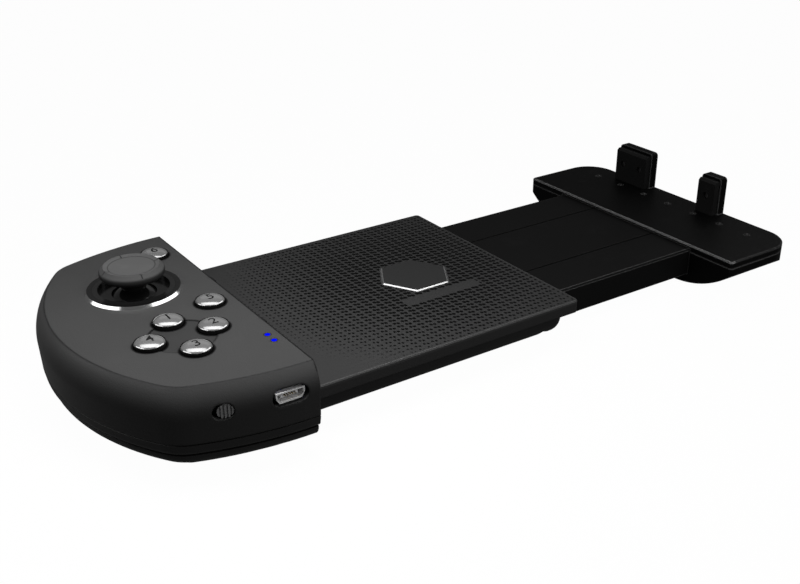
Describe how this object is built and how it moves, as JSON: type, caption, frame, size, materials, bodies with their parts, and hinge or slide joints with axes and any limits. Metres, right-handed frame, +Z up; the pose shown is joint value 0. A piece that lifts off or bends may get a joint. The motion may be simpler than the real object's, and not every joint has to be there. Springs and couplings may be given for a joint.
{
  "type": "one-handed game controller",
  "caption": "One-handed phone game pad: D-shaped pad with thumbstick and buttons, flat phone tray, telescopic slide and hooked clamp.",
  "frame": {"origin": "On the resting plane, under the middle of the whole object's box in X and Y.", "axes": "+X along the slide from the pad to the clamp, +Y away from the wall with the charging socket, +Z up out of the tray."},
  "size_m": [0.2252, 0.0986, 0.033],
  "materials": {
    "body_plastic": "satin",
    "slide_plastic": "satin",
    "ring_metal": "polished",
    "button_chrome": "polished",
    "badge_metal": "satin",
    "rubber_black": "matte",
    "stick_gloss": "gloss",
    "inner_plastic": "matte",
    "board_green": "satin",
    "switch_metal": "satin",
    "steel": "brushed",
    "cell_wrap": "satin",
    "light_guide": "gloss"
  },
  "bodies": {
    "pad": {"upper_shell": "body_plastic", "lower_cover": "body_plastic", "pad_screws": "steel", "pad_feet": "rubber_black", "rubber_membrane": "rubber_black", "stick_ring": "ring_metal", "stick_plate": "body_plastic", "stick_housing": "inner_plastic", "stick_spring": "steel", "stick_sensors": "inner_plastic", "click_switch": "switch_metal", "stick_board": "board_green", "main_board": "board_green", "battery": "cell_wrap", "led_light_guides": "light_guide", "status_leds": "light_guide", "usb_socket": "switch_metal", "usb_insert": "inner_plastic", "power_switch_body": "inner_plastic", "key_pins": "steel", "key_switches": "switch_metal", "key_board": "board_green", "tray_top": "body_plastic", "hex_badge": "badge_metal", "tray_bottom": "body_plastic", "tray_screws": "steel", "wall_bumpers": "rubber_black", "brake_pad": "rubber_black"},
    "bracket": {"slide_cover": "slide_plastic", "slide_floor": "slide_plastic", "slide_screws": "steel", "slide_rails": "steel", "clamp_top": "body_plastic", "clamp_bottom": "body_plastic", "clamp_feet": "rubber_black", "clamp_screws": "steel", "hook_pad_wide": "rubber_black", "hook_pad_narrow": "rubber_black", "hook_pad_screws": "steel", "grip_nubs": "rubber_black"},
    "stick_carrier": {"gimbal_cradle": "inner_plastic"},
    "stick_rocker": {"gimbal_ring": "inner_plastic"},
    "stick": {"stick_shaft": "stick_gloss", "stick_cap": "rubber_black"},
    "button_north_body": {"button_north": "button_chrome"},
    "button_east_body": {"button_east": "button_chrome"},
    "button_south_body": {"button_south": "button_chrome"},
    "button_west_body": {"button_west": "button_chrome"},
    "button_seam_body": {"button_seam": "button_chrome"},
    "button_far_body": {"button_far": "button_chrome"},
    "outer_key": {"shoulder_key_outer": "stick_gloss"},
    "inner_key": {"shoulder_key_inner": "stick_gloss"},
    "power_knob": {"power_switch_knob": "inner_plastic"}
  },
  "joints": [
    {"name": "bracket_slide", "type": "slide", "parent": "pad", "child": "bracket", "axis": [1, 0, 0], "range_m": [-0.055, 0.006]},
    {"name": "stick_click", "type": "slide", "parent": "pad", "child": "stick_carrier", "axis": [0, 0, -1], "range_m": [0, 0.0003], "stiffness_N_per_m": 3000, "deforming": ["stick_spring"]},
    {"name": "stick_tilt_x", "type": "hinge", "parent": "stick_carrier", "child": "stick_rocker", "pos_m": [-0.08377, 0.01412, 0.0185], "axis": [1, 0, 0], "range_deg": [-12, 12], "stiffness_Nm_per_rad": 0.02},
    {"name": "stick_tilt_y", "type": "hinge", "parent": "stick_rocker", "child": "stick", "pos_m": [-0.08377, 0.01412, 0.0185], "axis": [0, 1, 0], "range_deg": [-12, 12], "stiffness_Nm_per_rad": 0.02},
    {"name": "button_north_press", "type": "slide", "parent": "pad", "child": "button_north_body", "axis": [0, 0, -1], "range_m": [0, 0.001], "stiffness_N_per_m": 600},
    {"name": "button_east_press", "type": "slide", "parent": "pad", "child": "button_east_body", "axis": [0, 0, -1], "range_m": [0, 0.001], "stiffness_N_per_m": 600},
    {"name": "button_south_press", "type": "slide", "parent": "pad", "child": "button_south_body", "axis": [0, 0, -1], "range_m": [0, 0.001], "stiffness_N_per_m": 600},
    {"name": "button_west_press", "type": "slide", "parent": "pad", "child": "button_west_body", "axis": [0, 0, -1], "range_m": [0, 0.001], "stiffness_N_per_m": 600},
    {"name": "button_seam_press", "type": "slide", "parent": "pad", "child": "button_seam_body", "axis": [0, 0, -1], "range_m": [0, 0.001], "stiffness_N_per_m": 600},
    {"name": "button_far_press", "type": "slide", "parent": "pad", "child": "button_far_body", "axis": [0, 0, -1], "range_m": [0, 0.001], "stiffness_N_per_m": 600},
    {"name": "outer_key_press", "type": "hinge", "parent": "pad", "child": "outer_key", "pos_m": [-0.08884, 0.03703, 0.0177], "axis": [0, 0, -1], "range_deg": [0, 4], "stiffness_Nm_per_rad": 0.06},
    {"name": "inner_key_press", "type": "hinge", "parent": "pad", "child": "inner_key", "pos_m": [-0.06828, 0.0408, 0.0177], "axis": [0, 0, 1], "range_deg": [0, 4], "stiffness_Nm_per_rad": 0.06},
    {"name": "power_slide", "type": "slide", "parent": "pad", "child": "power_knob", "axis": [-0.964, 0.2658, 0], "range_m": [0, 0.001]}
  ]
}
